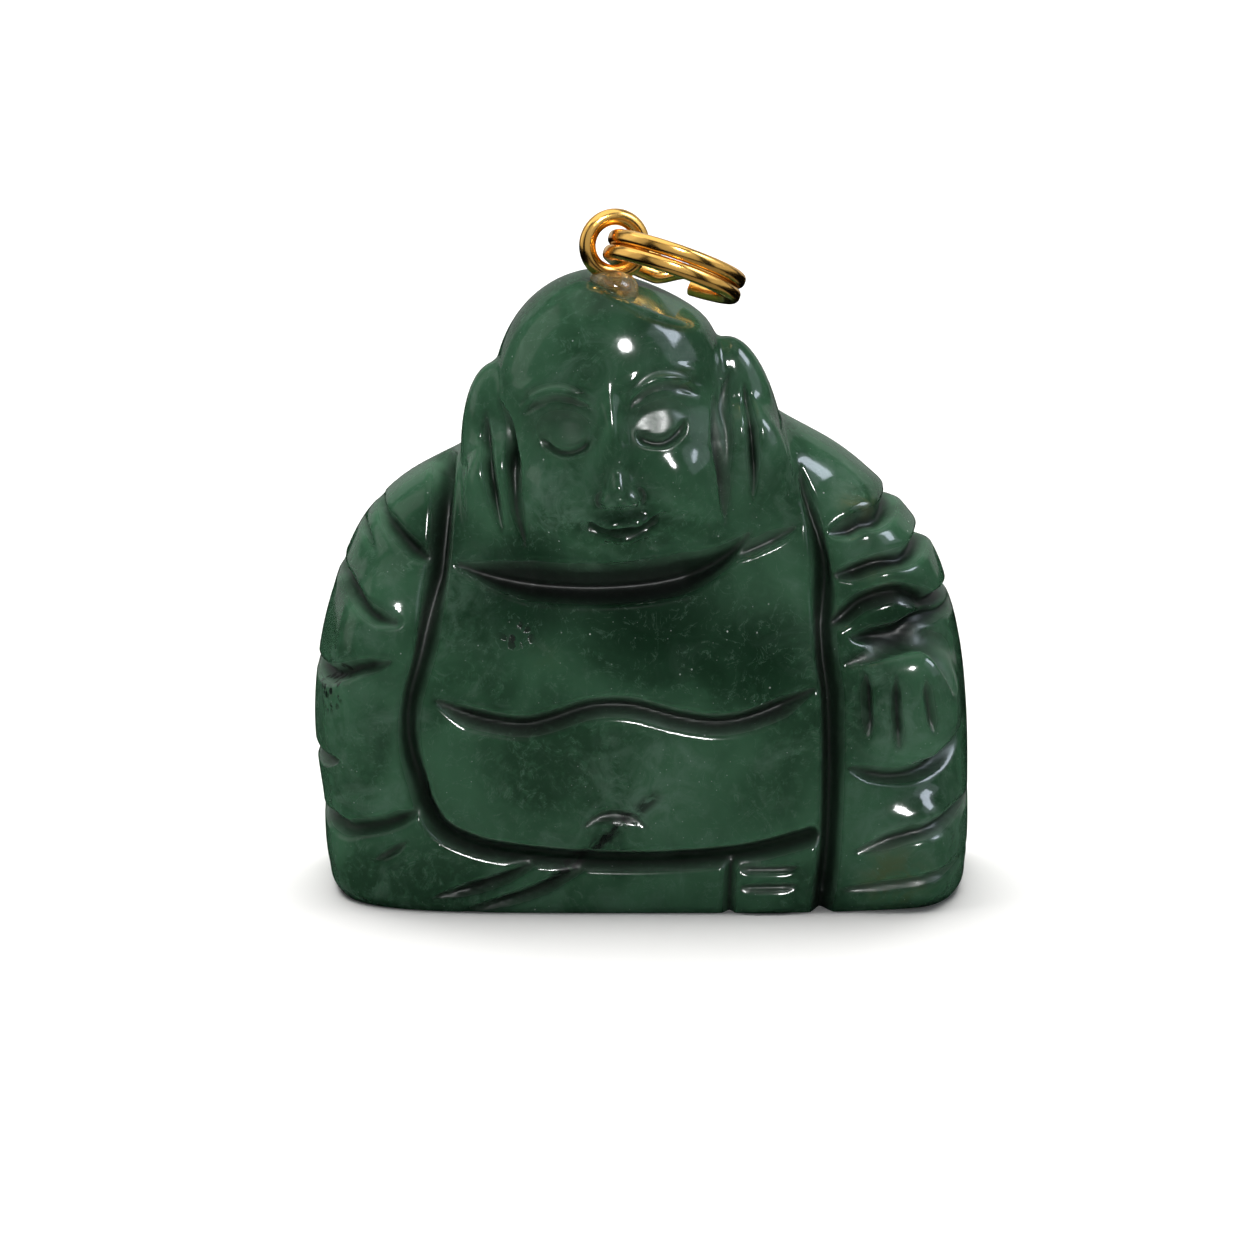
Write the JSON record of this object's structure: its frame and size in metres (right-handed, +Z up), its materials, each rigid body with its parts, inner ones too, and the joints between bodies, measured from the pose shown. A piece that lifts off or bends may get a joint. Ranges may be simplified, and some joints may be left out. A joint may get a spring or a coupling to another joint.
{
  "type": "carved stone figure pendant",
  "caption": "Small pendant carved as a seated, smiling figure in polished dark green stone, with a gold wire eye set in the head and a gold split ring through it.",
  "frame": {"origin": "middle of the flat base, on the surface the figure stands on", "axes": "+Z up, the figure faces -Y, +X is to the right of someone who looks at its face"},
  "size_m": [0.0272, 0.013, 0.0289],
  "materials": {
    "green_stone": "polished dark green nephrite with cloudy patches and black specks",
    "gold": "polished yellow gold wire",
    "clear_resin": "clear adhesive, slightly amber"
  },
  "bodies": {
    "pendant": {"stone_carving": "green_stone", "bail_eye": "gold", "resin_bead": "clear_resin"},
    "ring": {"split_ring": "gold"}
  },
  "joints": [
    {"name": "ring_swing", "type": "hinge", "parent": "pendant", "child": "ring", "pos_m": [-0.00122, -0.001, 0.02732], "axis": [0, -0.9336, 0.3584], "range_deg": [0, 190]}
  ]
}
